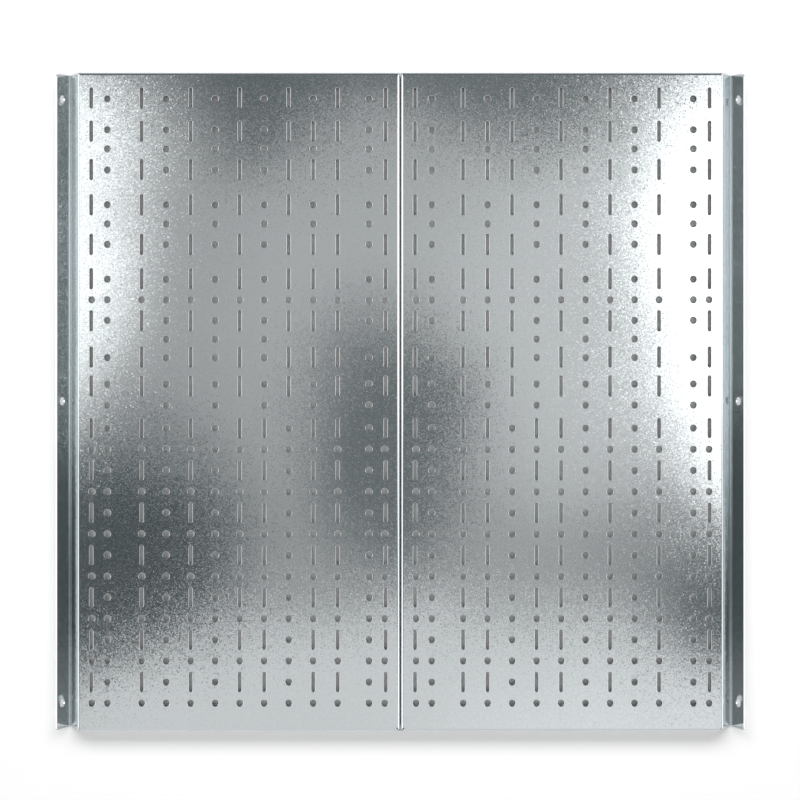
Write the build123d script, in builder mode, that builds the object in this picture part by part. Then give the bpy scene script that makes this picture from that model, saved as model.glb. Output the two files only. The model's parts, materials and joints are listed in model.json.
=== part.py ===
from build123d import *
from math import cos, radians, sin, tan
import os

# A galvanised perforated panel: two folded halves that lie side by side and butt along a seam.
# Each half is one sheet. Its perforated face is folded down at the seam and at both ends, and its
# outer side is folded into a V-shaped channel whose outer wall takes the fixing screws.
# Millimetres. The origin is on the floor under the middle of the panel. +Z is up out of the face,
# +Y runs to the panel's top edge and +X to the right half. The left half mirrors the right one.

# ---- sheet and folds ----
sheet = 1.5                     # thickness of the sheet
bend_radius = 3.0               # outside radius of the folds round the face
panel_length = 672.5            # top edge to bottom edge
panel_height = 26.0             # floor to the top of the face
seam_gap = 0.5                  # clear gap between the two halves
fold_x = 329.5                  # seam to the fold between face and channel
end_flange_depth = 25.0         # face to the free edge of the folds at both ends

# ---- side channel ----
channel_angle = 25.0            # lean of both channel walls, off the vertical
channel_bend_radius = 2.5       # outside radius of the fold at the channel's bottom
lip_drop = 5.0                  # face to the free lip of the channel
lip_top_corner_radius = 4.5     # rounded corner of the lip at the top edge
lip_bottom_corner_radius = 1.5  # rounded corner of the lip at the bottom edge

# ---- corners of the face ----
relief_diameter = 1.6           # round relief where two folds meet
mitre_gap = 0.8                 # slit between two folds that meet

# ---- fixing holes in the channel's outer wall ----
fixing_hole_diameter = 8.5
fixing_hole_height = 12.5       # floor to the hole's middle
fixing_hole_inset = 26.0        # panel's end to the first and the last hole

# ---- perforation ----
hole_diameter = 6.5
slot_width = 3.4
upper_slot_length = 21.0
lower_slot_length = 20.0

# Columns, from the seam outwards.
seam_slot_column = 15.0
seam_hole_column = 16.0         # the round holes of that column stand a little further out
inner_column = 32.0
grid_start = 64.0               # nine columns on one pitch
grid_pitch = 25.0
outer_column = 299.0
edge_slot_column = 315.5
edge_hole_column = 315.0

# Rows of the upper zone, down from the top edge.
upper_hole_rows = [27.0, 58.5, 78.0, 99.5, 135.0, 154.5, 175.5, 211.0, 232.0, 253.0, 272.0, 291.0, 318.0, 339.5]
upper_slot_rows = [26.0, 60.0, 99.0, 135.0, 175.5, 210.5, 253.5, 290.5, 320.0]
waist_row = 232.0               # the one round hole between the slots of the upper zone
skipped_row = 272.0             # row that the inner and the outer column leave out
sparse_hole_rows = [27.0, 78.0, 135.0, 154.5, 232.0, 318.0, 339.5]
sparse_slot_rows = [60.0, 99.0, 175.5, 210.5, 253.5, 290.5]

# Rows of the lower zone, down from the top edge.
lower_start = 363.0
lower_pitch = 21.6
lower_count = 14

# ---- worked out from the sizes above ----
half_length = panel_length / 2
lean = tan(radians(channel_angle))
seam_x = seam_gap / 2
valley_z = channel_bend_radius - (channel_bend_radius - sheet) / sin(radians(channel_angle))
valley_x = fold_x + (panel_height - valley_z) * lean
lip_z = panel_height - lip_drop
lip_x = valley_x + (lip_z - valley_z) * lean
flat_start_x = seam_x + bend_radius
flat_end_y = half_length - bend_radius
flat_end_x = fold_x - bend_radius * tan(radians(90 - channel_angle) / 2)
wall_normal = Vector(-cos(radians(channel_angle)), 0, sin(radians(channel_angle)))
fixing_hole_x = valley_x + (fixing_hole_height - valley_z) * lean
fixing_hole_reach = half_length - fixing_hole_inset
beyond = 2 * bend_radius        # how far a cutter runs past what it cuts

# ---- hole places ----
grid = [grid_start + k * grid_pitch for k in range(9)]
lower_rows = [lower_start + k * lower_pitch for k in range(lower_count)]
lower_slot_rows = lower_rows[0::2]
lower_hole_rows = lower_rows[1::2]
usual_hole_rows = [row for row in upper_hole_rows if row != skipped_row]


def places(columns, rows):
    """Every crossing of the columns with the rows, as points on the face."""
    return [(x, half_length - row) for x in columns for row in rows]


slotted = [grid[0], grid[4], grid[6], grid[8]]
hole_places = (
    places([seam_hole_column, edge_hole_column] + slotted, [waist_row] + lower_hole_rows)
    + places([inner_column, outer_column], usual_hole_rows + lower_rows)
    + places([grid[5], grid[7]], upper_hole_rows + lower_rows)
    + places([grid[3]], upper_hole_rows + lower_hole_rows)
    + places([grid[2]], [waist_row] + lower_rows)
    + places([grid[1]], sparse_hole_rows + lower_hole_rows)
)
upper_slot_places = (
    places([seam_slot_column, edge_slot_column] + slotted + [grid[2]], upper_slot_rows)
    + places([grid[1]], sparse_slot_rows)
)
lower_slot_places = places(
    [seam_slot_column, edge_slot_column] + slotted + [grid[1], grid[3]], lower_slot_rows
)

# ---- end fold: the strip that turns down at the top edge ----
with BuildPart() as end_fold:
    with BuildSketch(Plane.YZ.offset(seam_x)):
        with BuildLine():
            top_of_fold = FilletPolyline(
                (flat_end_y - beyond, panel_height),
                (half_length, panel_height),
                (half_length, panel_height - end_flange_depth),
                radius=bend_radius,
            )
            offset(top_of_fold, amount=sheet, side=Side.RIGHT)
        make_face()
    extrude(amount=fold_x - seam_x + beyond)
    # The plan of the strip: both ends follow a mitre, against the seam fold and against the channel.
    with BuildSketch(Plane.XY):
        with BuildLine():
            Polyline(
                (flat_start_x, flat_end_y - beyond),
                (flat_start_x, flat_end_y),
                (seam_x, half_length),
                (flat_end_x + bend_radius, half_length),
                (flat_end_x, flat_end_y),
                (flat_end_x, flat_end_y - beyond),
                close=True,
            )
        make_face()
    extrude(amount=panel_height, mode=Mode.INTERSECT)

# ---- right half ----
with BuildPart() as right_panel:
    # Section: seam flange, face, channel. The line is the sheet's upper and outer side.
    with BuildSketch(Plane.XZ):
        with BuildLine():
            outer_side = FilletPolyline(
                (seam_x, 0),
                (seam_x, panel_height),
                (fold_x, panel_height),
                (valley_x, valley_z),
                (lip_x, lip_z),
                radius=[bend_radius, bend_radius, channel_bend_radius - sheet],
            )
            offset(outer_side, amount=sheet, side=Side.RIGHT)
        make_face()
    extrude(amount=half_length, both=True)

    # Rounded corners of the channel's lip.
    lip_corners = edges().filter_by(Axis((0, 0, 0), wall_normal)).sort_by(Axis.X)[-2:].sort_by(Axis.Y)
    fillet(lip_corners[1], lip_top_corner_radius)
    fillet(lip_corners[0], lip_bottom_corner_radius)

    # Both ends of the face give way to the end folds, up to the mitres.
    with BuildSketch(Plane.XY):
        with BuildLine():
            Polyline(
                (flat_start_x, flat_end_y),
                (flat_end_x, flat_end_y),
                (flat_end_x + bend_radius, half_length),
                (flat_end_x + bend_radius, half_length + beyond),
                (seam_x - beyond, half_length + beyond),
                close=True,
            )
        make_face()
        mirror(about=Plane.XZ)
    extrude(amount=panel_height, mode=Mode.SUBTRACT)
    add(end_fold.part)
    mirror(end_fold.part, about=Plane.XZ)

    # Each mitre is a slit that runs from a round relief out to the corner.
    with BuildSketch(Plane.XY.offset(panel_height)):
        with Locations((flat_start_x, flat_end_y), (flat_end_x, flat_end_y)):
            Circle(relief_diameter / 2)
        with Locations(Location((flat_start_x, flat_end_y), 135), Location((flat_end_x, flat_end_y), 45)):
            Rectangle(beyond, mitre_gap, align=(Align.MIN, Align.CENTER))
        mirror(about=Plane.XZ)
    extrude(amount=-panel_height, mode=Mode.SUBTRACT)

    # Perforation, punched through the face.
    with BuildSketch(Plane.XY.offset(panel_height)):
        with Locations(*hole_places):
            Circle(hole_diameter / 2)
        with Locations(*upper_slot_places):
            SlotOverall(upper_slot_length, slot_width, rotation=90)
        with Locations(*lower_slot_places):
            SlotOverall(lower_slot_length, slot_width, rotation=90)
    extrude(amount=-bend_radius, mode=Mode.SUBTRACT)

    # Fixing holes, square to the channel's outer wall.
    with BuildSketch(Plane((fixing_hole_x, 0, fixing_hole_height), x_dir=(0, 1, 0), z_dir=wall_normal)):
        with Locations((-fixing_hole_reach, 0), (0, 0), (fixing_hole_reach, 0)):
            Circle(fixing_hole_diameter / 2)
    extrude(amount=2 * sheet, both=True, mode=Mode.SUBTRACT)

# ---- left half, the mirror image of the right one ----
with BuildPart() as left_panel:
    mirror(right_panel.part, about=Plane.YZ)

right_panel.part.label = "right_panel"
left_panel.part.label = "left_panel"

os.makedirs("parts", exist_ok=True)
export_step(right_panel.part, "parts/right_panel.step")
export_step(left_panel.part, "parts/left_panel.step")
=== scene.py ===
# %% [markdown]
# # A galvanised perforated panel
#
# This lesson dresses a finished CAD model of a perforated mounting panel: two folded sheets of
# galvanised steel that lie side by side. The CAD model already has every hole, slot and fold at its
# real size. Blender adds what a drawing leaves out: the soft rims that a punch leaves, the zinc's
# crystal pattern, the studio that the metal mirrors, a floor and a camera.
#
# Everything is in metres, and +Z points up out of the sheet.

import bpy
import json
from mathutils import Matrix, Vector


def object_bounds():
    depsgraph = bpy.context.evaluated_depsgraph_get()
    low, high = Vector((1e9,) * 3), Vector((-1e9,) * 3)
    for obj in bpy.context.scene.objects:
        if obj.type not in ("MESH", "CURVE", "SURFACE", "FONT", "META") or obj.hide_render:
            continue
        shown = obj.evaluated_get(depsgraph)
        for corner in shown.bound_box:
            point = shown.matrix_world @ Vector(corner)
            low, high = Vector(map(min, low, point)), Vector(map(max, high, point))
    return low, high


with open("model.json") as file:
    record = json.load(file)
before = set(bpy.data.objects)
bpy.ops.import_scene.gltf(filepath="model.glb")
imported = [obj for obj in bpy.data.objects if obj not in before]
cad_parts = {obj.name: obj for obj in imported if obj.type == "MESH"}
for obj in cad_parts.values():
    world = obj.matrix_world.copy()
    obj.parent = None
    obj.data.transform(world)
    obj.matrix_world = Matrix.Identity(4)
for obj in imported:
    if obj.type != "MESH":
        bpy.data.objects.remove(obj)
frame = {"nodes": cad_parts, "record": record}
cad_low, cad_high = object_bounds()
halves = [frame["nodes"]["left_panel"], frame["nodes"]["right_panel"]]
print("sheets:", [half.name for half in halves])

# %% [markdown]
# ## The panel's own measures
#
# Nothing here is typed in twice. The panel's height, length and width come from its box, the sheet's
# thickness comes from the stored record, and later values are worked out from them.

# %% Measure it
import json
from math import radians

import bpy

mm = 0.001
panel_height = cad_high.z
half_length = cad_high.y
half_width = cad_high.x
mounts = {mount["name"]: mount for mount in frame["record"]["mounts"]}
sheet_thickness = mounts["right_middle_fixing_hole"]["dims"]["length_mm"] * mm
print(f"panel {2 * half_width:.4f} x {2 * half_length:.3f} x {panel_height:.3f} m")
print(f"sheet {sheet_thickness:.4f} m thick")

# %% [markdown]
# ## Writing nodes as sums
#
# A material in Blender is a graph of nodes. Dragging links in the editor is good for trying things,
# but a graph is easier to read as arithmetic. The class below wraps one output socket. Adding or
# multiplying two of them makes the Math node that does so. Colours and directions have three parts
# and go through Mix and Vector Math nodes instead, because a Math node would turn them grey. Each
# operator has its reflected form as well, so that a plain number may stand on either side.

# %% A socket that does sums


class Value:
    """A number that comes out of a socket. Arithmetic on it adds Math nodes."""

    def __init__(self, graph, socket):
        self.graph = graph
        self.socket = socket

    def math(self, operation, first, second):
        return self.graph.node("ShaderNodeMath", {"operation": operation}, {0: first, 1: second})

    def __add__(self, other):
        return self.math("ADD", self, other)

    def __radd__(self, other):
        return self.math("ADD", other, self)

    def __sub__(self, other):
        return self.math("SUBTRACT", self, other)

    def __rsub__(self, other):
        return self.math("SUBTRACT", other, self)

    def __mul__(self, other):
        return self.math("MULTIPLY", self, other)

    def __rmul__(self, other):
        return self.math("MULTIPLY", other, self)

    def __rtruediv__(self, other):
        return self.math("DIVIDE", other, self)

    def __abs__(self):
        return self.math("ABSOLUTE", self, 0)

    def __gt__(self, other):
        return self.math("GREATER_THAN", self, other)

    def __lt__(self, other):
        return self.math("LESS_THAN", self, other)


print("a socket can be added, multiplied and compared")

# %% [markdown]
# The second class looks after the nodes. Its node() method makes any node: it takes the node's type,
# its settings, which have to be set first, and what goes into its sockets. The other methods are
# short names for the few nodes that come up again and again.

# %% The nodes of one graph


class Graph:
    """The nodes of one material, world or geometry modifier."""

    def __init__(self, tree):
        self.tree = tree
        tree.nodes.clear()

    def node(self, kind, settings=None, inputs=None, output=0):
        """Adds a node, sets it up, feeds its sockets and returns one of its outputs."""
        made = self.tree.nodes.new(kind)
        for name, setting in (settings or {}).items():
            setattr(made, name, setting)
        for name, value in (inputs or {}).items():
            if isinstance(value, Value):
                self.tree.links.new(value.socket, made.inputs[name])
            else:
                made.inputs[name].default_value = value
        return Value(self, made.outputs[output]) if made.outputs else None

    def vector(self, operation, first, second=(0, 0, 0), output=0):
        """Vector Math on two directions or places."""
        settings = {"operation": operation}
        return self.node("ShaderNodeVectorMath", settings, {0: first, 1: second}, output)

    def parts(self, vector):
        """The x, y and z of a direction or place."""
        split = self.node("ShaderNodeSeparateXYZ", inputs={"Vector": vector}).socket.node
        return [Value(self, socket) for socket in split.outputs]

    def step(self, value, low, high):
        """0 at low, 1 at high, and a smooth curve in between."""
        settings = {"interpolation_type": "SMOOTHSTEP"}
        inputs = {"Value": value, "From Min": low, "From Max": high}
        return self.node("ShaderNodeMapRange", settings, inputs)

    def mix(self, factor, first, second):
        """first where factor is 0 and second where it is 1, for numbers."""
        inputs = {0: factor, 2: first, 3: second}
        return self.node("ShaderNodeMix", {"data_type": "FLOAT"}, inputs)

    def mix_colour(self, factor, first, second):
        """first where factor is 0 and second where it is 1, for colours."""
        inputs = {0: factor, 6: first, 7: second}
        return self.node("ShaderNodeMix", {"data_type": "RGBA"}, inputs, output=2)


print("node graphs are ready")

# %% [markdown]
# ## Soft rims from the punch
#
# A punch pulls the sheet's skin down with it before it breaks through, so each hole starts with a
# rounded lip, and the broken edge is on the far side. On mirror-like zinc that lip is what shows a
# hole best: a thin bright ring. A bump could fake it, but a ring in real geometry still works from
# the side and in the exported mesh. A Bevel modifier is the usual way to round an edge. Here it fails,
# because long thin triangles run between the holes and a bevel drags their corners along.
#
# So the lip is grown by a small geometry graph. It opens each upper rim, draws the face's edge back
# and the hole's wall down by the lip's radius, and fills the gap with a few strips round a quarter
# circle. The CAD mesh itself stays as it is, because a modifier only changes what is shown.

# %% What the lip measures
from math import cos, pi, sin

rim_radius = 0.5 * mm
rim_strips = 3
sharp_angle = radians(40)
print("lip radius", rim_radius, "m in", rim_strips, "strips")

# %% [markdown]
# The graph has to remember which corners of the mesh lie on a rim while it moves them about. Named
# attributes do that: a value is stored on each corner under a name and read back later. A vertex
# group would do for a yes or no, but it can't hold a direction.

# %% Values that stay with the mesh


def store(graph, mesh, name, kind, value):
    """Keeps a value on each corner of the mesh under a name."""
    settings = {"data_type": kind, "domain": "POINT"}
    inputs = {"Geometry": mesh, "Name": name, "Value": value}
    return graph.node("GeometryNodeStoreNamedAttribute", settings, inputs)


def recall(graph, name, kind):
    """Reads a value that store() kept."""
    return graph.node("GeometryNodeInputNamedAttribute", {"data_type": kind}, {"Name": name})


print("values can be stored and recalled")

# %% [markdown]
# On the welded mesh, a corner on a rim has a normal halfway between the face's and the wall's, so
# the level part of that normal points into the hole. The graph stores it before it opens the rims.
# Only the corners of the hole rims are at the very top of the sheet and have such a normal, apart
# from the slits at the panel's four corners, which are left out. Once the sharp edges are split, a
# corner of the face has an upright normal again and a corner of the wall doesn't, which tells the
# two sides of a rim apart.

# %% Find the rims
skin = 0.05 * mm
corner_margin = 10 * mm
level_share = 0.3
upright_share = 0.7


def mark_rims(graph, mesh):
    """Finds the corners on upper rims and the way into their hole, then opens the sharp edges."""
    normal = graph.node("GeometryNodeInputNormal", output="True Normal")
    level = graph.vector("MULTIPLY", normal, (1, 1, 0))
    _, y, z = graph.parts(graph.node("GeometryNodeInputPosition"))
    at_top = z > panel_height - skin
    off_corners = abs(y) < half_length - corner_margin
    slanting = graph.vector("LENGTH", level, output="Value") > level_share
    mesh = store(graph, mesh, "rim", "FLOAT", at_top * off_corners * slanting)
    mesh = store(graph, mesh, "into_hole", "FLOAT_VECTOR", graph.vector("NORMALIZE", level))
    angle = graph.node("GeometryNodeInputMeshEdgeAngle")
    mesh = graph.node("GeometryNodeSplitEdges", inputs={"Mesh": mesh, "Selection": angle > sharp_angle})
    upright = graph.parts(graph.node("GeometryNodeInputNormal", output="True Normal"))[2]
    face_rim = recall(graph, "rim", "FLOAT") * (upright > upright_share)
    return store(graph, mesh, "face_rim", "FLOAT", face_rim)


print("rims lie within", skin, "m of the top")

# %% [markdown]
# Each strip is made by pulling a copy of the rim's edge out of the last one, as pressing E does on a
# selected edge in Edit Mode. An edge of the open rim has one face beside it instead of two, and both
# its ends are marked as rim.

# %% Grow the lips
marked = 0.5
marked_at_both_ends = 0.99


def shifted(graph, mesh, chosen, inward, upward):
    """Moves the chosen corners into their hole and up."""
    level = graph.node(
        "ShaderNodeVectorMath",
        {"operation": "SCALE"},
        {0: recall(graph, "into_hole", "FLOAT_VECTOR"), "Scale": inward},
    )
    offset = graph.vector("ADD", level, (0, 0, upward))
    inputs = {"Geometry": mesh, "Selection": chosen, "Offset": offset}
    return graph.node("GeometryNodeSetPosition", inputs=inputs)


def grow_lips(graph, mesh):
    """Fills each opened rim with strips round a quarter circle."""
    face_rim = recall(graph, "face_rim", "FLOAT")
    wall_rim = recall(graph, "rim", "FLOAT") - face_rim
    mesh = shifted(graph, mesh, face_rim > marked, -rim_radius, 0)
    mesh = shifted(graph, mesh, wall_rim > marked, 0, -rim_radius)
    faces_beside = graph.node("GeometryNodeInputMeshEdgeNeighbors")
    chosen = (recall(graph, "face_rim", "FLOAT") > marked_at_both_ends) * (faces_beside < 2)
    turns = [pi / 2 * k / rim_strips for k in range(rim_strips + 1)]
    for turn, next_turn in zip(turns, turns[1:]):
        inputs = {"Mesh": mesh, "Selection": chosen, "Offset Scale": 0.0}
        mesh = graph.node("GeometryNodeExtrudeMesh", {"mode": "EDGES"}, inputs)
        chosen = Value(graph, mesh.socket.node.outputs["Top"])
        inward = rim_radius * (sin(next_turn) - sin(turn))
        downward = rim_radius * (cos(turn) - cos(next_turn))
        mesh = shifted(graph, mesh, chosen, inward, -downward)
    return mesh


print("each lip turns through", rim_strips, "strips")

# %% [markdown]
# The strips should look round and the sheet should look flat. Smooth shading blends the normals of
# neighbouring faces, so it has to stop at sharp edges and also all round the flat face. Otherwise the
# lip's slant would bleed into the mirror. An edge between a flat and a curved face is found by
# averaging the two: flat counts as 1 and curved as 0, so only such an edge comes out at a half.

# %% Join, shade and build the graph
weld_distance = 0.005 * mm
flat_share = 0.9999
clear_of_half = 0.4


def weld(graph, mesh):
    """Joins corners that lie in one place."""
    inputs = {"Geometry": mesh, "Distance": weld_distance}
    return graph.node("GeometryNodeMergeByDistance", inputs=inputs)


def shade(graph, mesh):
    """Smooth shading that stops at sharp edges and all round the flat face."""
    inputs = {"Geometry": mesh, "Shade Smooth": True}
    mesh = graph.node("GeometryNodeSetShadeSmooth", {"domain": "FACE"}, inputs)
    upright = graph.parts(graph.node("GeometryNodeInputNormal", output="True Normal"))[2]
    on_face = {"data_type": "FLOAT", "domain": "FACE"}
    flat = graph.node("GeometryNodeFieldOnDomain", on_face, {0: upright > flat_share})
    not_face_border = abs(flat - 0.5) > clear_of_half
    angle = graph.node("GeometryNodeInputMeshEdgeAngle")
    inputs = {"Geometry": mesh, "Shade Smooth": (angle < sharp_angle) * not_face_border}
    return graph.node("GeometryNodeSetShadeSmooth", {"domain": "EDGE"}, inputs)


def punched_rims():
    """The whole modifier graph: weld, mark, grow, weld again and shade."""
    tree = bpy.data.node_groups.new("punched_rims", "GeometryNodeTree")
    tree.interface.new_socket("Geometry", in_out="INPUT", socket_type="NodeSocketGeometry")
    tree.interface.new_socket("Geometry", in_out="OUTPUT", socket_type="NodeSocketGeometry")
    graph = Graph(tree)
    mesh = weld(graph, graph.node("NodeGroupInput"))
    mesh = grow_lips(graph, mark_rims(graph, mesh))
    mesh = shade(graph, weld(graph, mesh))
    graph.node("NodeGroupOutput", inputs={0: mesh})
    return tree


rims = punched_rims()
print("rim graph:", len(rims.nodes), "nodes")

# %% [markdown]
# A second modifier lets the large flat faces decide the shading, so the sheet mirrors flatly right
# up to each lip.

# %% Put the lips on both sheets


def triangle_count(half):
    """How many triangles a sheet shows."""
    shown = half.evaluated_get(bpy.context.evaluated_depsgraph_get())
    return len(shown.data.loop_triangles)


for half in halves:
    before = triangle_count(half)
    half.modifiers.new("punched_rims", "NODES").node_group = rims
    half.modifiers.new("flat_shading", "WEIGHTED_NORMAL").keep_sharp = True
    print(half.name, "had", before, "triangles and has", triangle_count(half))

# %% [markdown]
# ## Galvanised zinc
#
# Steel that has been dipped in zinc is covered in crystals. Here they are fine, about a millimetre,
# and each is a tiny flat mirror that leans its own way by a fraction of a degree. Where all of them
# mirror the same even light the sheet looks smooth. Where a light ends, some crystals still see
# it and their neighbours don't, and the sheet looks like frost. A few stray crystals lean several
# times as far as the rest, so single specks glint well beyond the edge of a light. A speckled colour
# can't do that, because it would show everywhere alike. So the crystals are made as what they are:
# cells of a Voronoi texture, each of which tilts the surface normal its own way.

# %% The crystals
crystal_size = 0.9 * mm
crystal_lean = 0.006
stray_lean = 5
sheet_wave_size = 0.12
sheet_wave_lean = 0.012


def leaning(graph, cells, amount):
    """Turns three random numbers between 0 and 1 into a small lean either way."""
    centred = graph.vector("SUBTRACT", cells, (0.5, 0.5, 0.5))
    inputs = {0: centred, "Scale": amount}
    return graph.node("ShaderNodeVectorMath", {"operation": "SCALE"}, inputs)


def crystals(graph, place, size):
    """Three random numbers for each crystal of about this size."""
    settings = {"voronoi_dimensions": "3D", "feature": "F1"}
    inputs = {"Vector": place, "Scale": 1 / size}
    return graph.node("ShaderNodeTexVoronoi", settings, inputs, "Color")


def sheet_waves(graph, place):
    """Three slowly changing numbers: a large thin sheet is never quite flat."""
    inputs = {"Vector": place, "Scale": 1 / sheet_wave_size, "Detail": 1.0}
    return graph.node("ShaderNodeTexNoise", {"noise_dimensions": "3D"}, inputs, "Color")


print("crystals about", crystal_size, "m across")

# %% [markdown]
# The same random numbers also give each crystal its own roughness and a slightly different grey,
# as etched and bright crystals have. The third number, multiplied by itself twice, picks the strays:
# that leaves it near zero for most crystals and near one for a few. The roughness could come from a
# noise texture instead, but then it would change in the middle of a crystal.

# %% Build the material
zinc_grey = (0.655, 0.68, 0.70, 1)
zinc_green = (0.625, 0.67, 0.675, 1)
etched_zinc = (0.555, 0.59, 0.60, 1)
etched_share = 0.3
smoothest = 0.05
roughest = 0.12


def galvanised_steel():
    """Zinc crystals that lean and gleam differently, over a faintly waved sheet."""
    material = bpy.data.materials.new("galvanised_steel")
    material.use_nodes = True
    graph = Graph(material.node_tree)
    place = graph.node("ShaderNodeTexCoord", output="Object")
    cells = crystals(graph, place, crystal_size)
    waves = sheet_waves(graph, place)
    chance, etching, stray = graph.parts(cells)
    crystal = leaning(graph, cells, crystal_lean * (1 + stray_lean * stray * stray * stray))
    lean = graph.vector("ADD", crystal, leaning(graph, waves, sheet_wave_lean))
    flat_normal = graph.node("ShaderNodeNewGeometry", output="Normal")
    normal = graph.vector("NORMALIZE", graph.vector("ADD", flat_normal, lean))
    tint = graph.parts(waves)[1]
    clean_zinc = graph.mix_colour(tint, zinc_grey, zinc_green)
    inputs = {
        "Base Color": graph.mix_colour(etching * etched_share, clean_zinc, etched_zinc),
        "Roughness": graph.mix(chance * chance, smoothest, roughest),
        "Normal": normal,
        "Metallic": 1.0,
    }
    metal = graph.node("ShaderNodeBsdfPrincipled", inputs=inputs)
    graph.node("ShaderNodeOutputMaterial", inputs={"Surface": metal})
    return material


zinc = galvanised_steel()
for half in halves:
    half.data.materials.clear()
    half.data.materials.append(zinc)
print("galvanised:", [half.name for half in halves])

# %% [markdown]
# ## What the metal mirrors
#
# A sheet like this has hardly any colour of its own. What is seen in it is the studio: softboxes that
# hang left and right, a pale wall in front of the table, and the dark outline of the camera in the
# middle. A flat mirror seen from above shows only the part of the sky within a dozen degrees of
# straight up. So the studio can be painted there as a handful of soft patches. Lamps with a surface
# would do the same, but a soft edge is easier to paint than to build.
#
# Only mirror rays see the studio. The Light Path node tells the rays apart, so the floor still gets a
# plain even light from all round, and the camera sees white behind the panel.
#
# The sheet mirrors each direction of the sky at one place. Dividing a direction by its upward part
# and multiplying by the camera's distance gives that place, measured from the point right below the
# camera. So each patch is written where it shows on the sheet: its middle, its half sizes, how much
# of its size is a soft edge, and its level. Later patches lie over earlier ones.

# %% The patches of the studio
camera_distance = 1.90
even_level = 0.45
overhead_level = 0.48
studio = {
    "ceiling in the middle": ((-0.06, 0.02), (0.12, 0.20), 0.60, 0.60),
    "lit ceiling on the right": ((0.19, 0.03), (0.15, 0.24), 0.60, 0.76),
    "dim room beyond": ((0.0, -0.26), (0.50, 0.07), 0.60, 0.47),
    "left softbox": ((-0.42, 0.14), (0.146, 0.262), 0.34, 1.75),
    "right softbox": ((0.42, 0.08), (0.173, 0.29), 0.24, 2.40),
    "dark ceiling behind": ((0.0, 0.34), (0.42, 0.12), 0.32, 0.22),
    "darker corner on the left": ((-0.15, 0.25), (0.07, 0.08), 0.70, 0.17),
    "darker corner on the right": ((0.12, 0.24), (0.07, 0.06), 0.70, 0.22),
    "dark stand on the left": ((-0.302, -0.24), (0.132, 0.13), 0.44, 0.11),
    "dim corner on the right": ((0.262, -0.25), (0.075, 0.05), 0.50, 0.40),
    "the camera": ((-0.015, -0.12), (0.085, 0.13), 0.45, 0.20),
    "pale wall in front": ((0.06, -0.90), (0.85, 0.61), 0.050, 0.88),
    "light on the wall": ((0.30, -0.56), (0.28, 0.20), 0.50, 1.10),
    "dark stand on the right": ((0.365, -0.285), (0.105, 0.075), 0.50, 0.15),
}
print("patches:", ", ".join(studio))

# %% [markdown]
# Bends are mirrors too, but curved ones: within three millimetres they show everything from the
# ceiling down to the horizon. Two long strip lights left and right give every bend and every rim its
# bright line. The strips are far from straight up, so the flat sheet doesn't show them. They are only
# as long as the table. Two dark stands stand in front of them, so the lines fade where those are.
#
# The room behind the table is dark and the wall in front of it is pale. That is why the fold at the
# top edge is a dark line and the one at the bottom edge isn't. The four corners of the room go from
# dark at the floor to pale under the ceiling. They are what the sheet mirrors when it is seen from
# one of its own corners, where a single level would make it look like painted card.
#
# Each pair below says where an edge in the sky begins and where it is complete, as the share of a
# direction that points sideways (x), towards the top edge (y) or up (z).

# %% The levels and edges of the room
strip_level = 2.3
behind_strip_level = 1.9
behind_level = 0.20
wall_level = 0.85
stand_level = 0.17
dark_tint = (0.84, 1.0, 1.05, 1)
room_corner_low = 0.30
room_corner_high = 0.95
plain_level = 0.28
white = (1, 1, 1, 1)

behind_edge = (0.18, 0.35)
wall_edge = (-0.18, -0.35)
corner_edge = (0.12, 0.30)
corner_rise = (0.15, 0.70)
overhead_edge = (0.95, 0.975)
stand_edge = (-0.03, -0.065)
stand_end = (-0.175, -0.155)
stand_side = (0.25, 0.32)
strip_inside = (0.55, 0.62)
strip_outside = (0.95, 0.88)
strip_foot = (0.0, 0.1)
strip_end = (0.5, 0.4)
tint_fade = (0.0, 0.45)
lowest_up = 0.05
print("strip lights at", strip_level, "and", behind_strip_level, "- wall at", wall_level)

# %% [markdown]
# The sky is built up like a painting: the room first, then the patches overhead, then the stands and
# the strips. Each layer is one Mix node that lays its level over what is there already.

# %% The layers of the sky


def soft_ellipse(graph, place, middle, size, edge):
    """1 inside an ellipse and 0 outside it, across a soft edge."""
    from_middle = graph.vector("SUBTRACT", place, (*middle, 0))
    reach = graph.vector("LENGTH", graph.vector("DIVIDE", from_middle, (*size, 1)), output="Value")
    return graph.step(reach, 1 + edge, 1 - edge)


def overhead(graph, direction, up, level):
    """Lays the patches of the studio over the sky."""
    level_part = graph.vector("MULTIPLY", direction, (1, 1, 0))
    inputs = {0: level_part, "Scale": camera_distance / up}
    place = graph.node("ShaderNodeVectorMath", {"operation": "SCALE"}, inputs)
    level = graph.mix(graph.step(up, *overhead_edge), level, overhead_level)
    for middle, size, edge, patch_level in studio.values():
        level = graph.mix(soft_ellipse(graph, place, middle, size, edge), level, patch_level)
    return level


def room(graph, x, y, z):
    """The dark end behind, the pale wall in front, and the corners between them and the sides."""
    level = graph.mix(graph.step(y, *behind_edge), even_level, behind_level)
    level = graph.mix(graph.step(y, *wall_edge), level, wall_level)
    in_corner = graph.step(abs(x * y), *corner_edge)
    corner_level = graph.mix(graph.step(z, *corner_rise), room_corner_low, room_corner_high)
    return graph.mix(in_corner, level, corner_level)


def strip_lights(graph, x, y, z, level):
    """Lays the stands over the sky, and the two strips, which shine past them less brightly."""
    stands = graph.step(y, *stand_edge) * graph.step(y, *stand_end)
    sideways = abs(x)
    level = graph.mix(stands * graph.step(sideways, *stand_side), level, stand_level)
    shine = graph.mix(graph.step(y, *stand_edge), strip_level, behind_strip_level)
    strips = graph.step(sideways, *strip_inside) * graph.step(sideways, *strip_outside)
    in_reach = graph.step(z, *strip_foot) * graph.step(abs(y), *strip_end)
    return graph.mix(strips * in_reach, level, shine)


print("layers: room, patches overhead, stands and strips")

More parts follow.
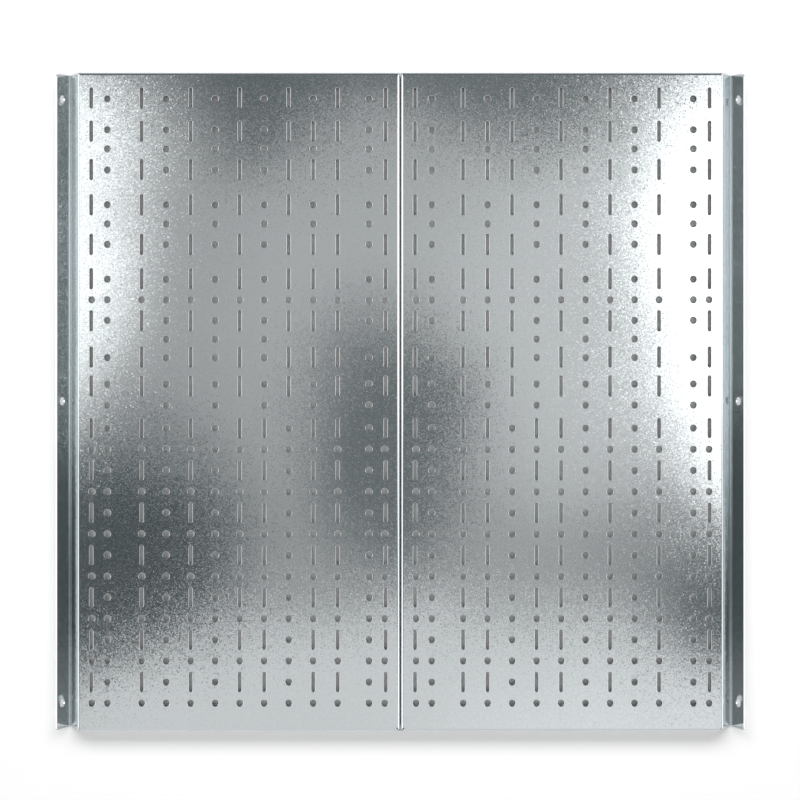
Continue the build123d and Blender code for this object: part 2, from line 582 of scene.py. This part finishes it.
# %% [markdown]
# The layers become the strength of the world's background. Dim parts of a studio look a little cold,
# so they are tinted. The Light Path node then picks who sees what: mirror rays the painted studio,
# the camera plain white, and everything else the plain level.

# %% Paint the sky


def studio_sky():
    """The world: the room, two strip lights and the patches overhead."""
    world = bpy.data.worlds.new("studio")
    world.use_nodes = True
    graph = Graph(world.node_tree)
    direction = graph.node("ShaderNodeTexCoord", output="Generated")
    x, y, z = graph.parts(direction)
    level = room(graph, x, y, z)
    level = overhead(graph, direction, z.math("MAXIMUM", z, lowest_up), level)
    level = strip_lights(graph, x, y, z, level)
    colour = graph.mix_colour(graph.step(level, *tint_fade), dark_tint, white)
    mirrored = graph.node("ShaderNodeLightPath", output="Is Glossy Ray")
    seen = graph.node("ShaderNodeLightPath", output="Is Camera Ray")
    colour = graph.mix_colour(mirrored, white, colour)
    strength = graph.mix(seen, graph.mix(mirrored, plain_level, level), 1.0)
    light = graph.node("ShaderNodeBackground", inputs={"Color": colour, "Strength": strength})
    graph.node("ShaderNodeOutputWorld", inputs={"Surface": light})
    return world


bpy.context.scene.world = studio_sky()
print("sky painted with", len(bpy.context.scene.world.node_tree.nodes), "nodes")

# %% [markdown]
# ## Two lamps for the floor
#
# A sky alone gives a faint shadow all round. A wide lamp beyond the top edge pushes the shadow out
# under the bottom edge. Its light comes in at a slant, so it would leave the floor behind the holes
# dark. A second, smaller lamp straight above shines through them. Neither lamp is shown in
# reflections, so the sheet and its bends mirror the painted studio alone.

# %% Hang the lamps
from mathutils import Vector


def hang_lamp(name, place, width, depth, power):
    """A rectangular lamp that shines at the panel's middle."""
    light = bpy.data.lights.new(name, "AREA")
    light.shape = "RECTANGLE"
    light.size = width
    light.size_y = depth
    light.energy = power
    lamp = bpy.data.objects.new(name, light)
    lamp.location = place
    lamp.rotation_euler = (-Vector(place)).to_track_quat("-Z", "Y").to_euler()
    lamp.visible_camera = False
    lamp.visible_glossy = False
    bpy.context.scene.collection.objects.link(lamp)
    return lamp


lamps = [
    hang_lamp("key_lamp", place=(0.0, 4.5, 5.4), width=9.0, depth=2.8, power=400),
    hang_lamp("overhead_lamp", place=(0.0, 0.0, 4.0), width=1.3, depth=1.3, power=54),
]
for lamp in lamps:
    print(lamp.name, "at", tuple(round(c, 2) for c in lamp.location))

# %% [markdown]
# ## The floor
#
# A plain pale floor, large enough for every view. Its colour is nearly white, so it comes out white
# under the even light and still takes the panel's shadow. A studio would curve the backdrop up behind
# the table. Seen from above there is no far edge to hide, so a flat square does.

# %% Lay the floor
floor_reach = 30.0
floor_paint = (0.95, 0.95, 0.95, 1)


def pale_floor():
    """A flat square under the panel."""
    material = bpy.data.materials.new("pale_floor")
    material.use_nodes = True
    graph = Graph(material.node_tree)
    paint = graph.node("ShaderNodeBsdfDiffuse", inputs={"Color": floor_paint})
    graph.node("ShaderNodeOutputMaterial", inputs={"Surface": paint})
    mesh = bpy.data.meshes.new("floor")
    corners = [(x * floor_reach, y * floor_reach, 0) for x, y in ((-1, -1), (1, -1), (1, 1), (-1, 1))]
    mesh.from_pydata(corners, [], [(0, 1, 2, 3)])
    mesh.materials.append(material)
    floor = bpy.data.objects.new("floor", mesh)
    bpy.context.scene.collection.objects.link(floor)
    return floor


floor = pale_floor()
print("floor", 2 * floor_reach, "m wide")

# %% [markdown]
# ## The camera
#
# The camera looks straight down, so the sheet's edges stay parallel. It stands a little towards the
# top edge, and the lens is shifted to bring the whole panel back into the middle of the frame. The
# panel lies a millimetre or two off the exact middle, as it would when it is placed by hand.
#
# An orthographic camera would keep the edges parallel too, but it would look straight down every hole
# and on to both walls of each channel alike. From a real distance the outer holes show some wall.

# %% Set up the camera
camera_ahead = 0.080
panel_above = 1.85 * mm
panel_aside = 0.35 * mm
field_width = 0.8165

camera_data = bpy.data.cameras.new("camera")
camera_data.lens = camera_data.sensor_width * camera_distance / field_width
camera_data.shift_x = -panel_aside / field_width
camera_data.shift_y = (panel_above - camera_ahead) / field_width
camera = bpy.data.objects.new("camera", camera_data)
camera.location = (0, camera_ahead, panel_height + camera_distance)
bpy.context.scene.collection.objects.link(camera)
bpy.context.scene.camera = camera
print(f"lens {camera_data.lens:.1f} mm, shift {camera_data.shift_y:.3f}")

# %% [markdown]
# ## Finish
#
# Colours are shown as they are, without a film curve.

# %% Finish
bpy.context.scene.view_settings.view_transform = "Standard"
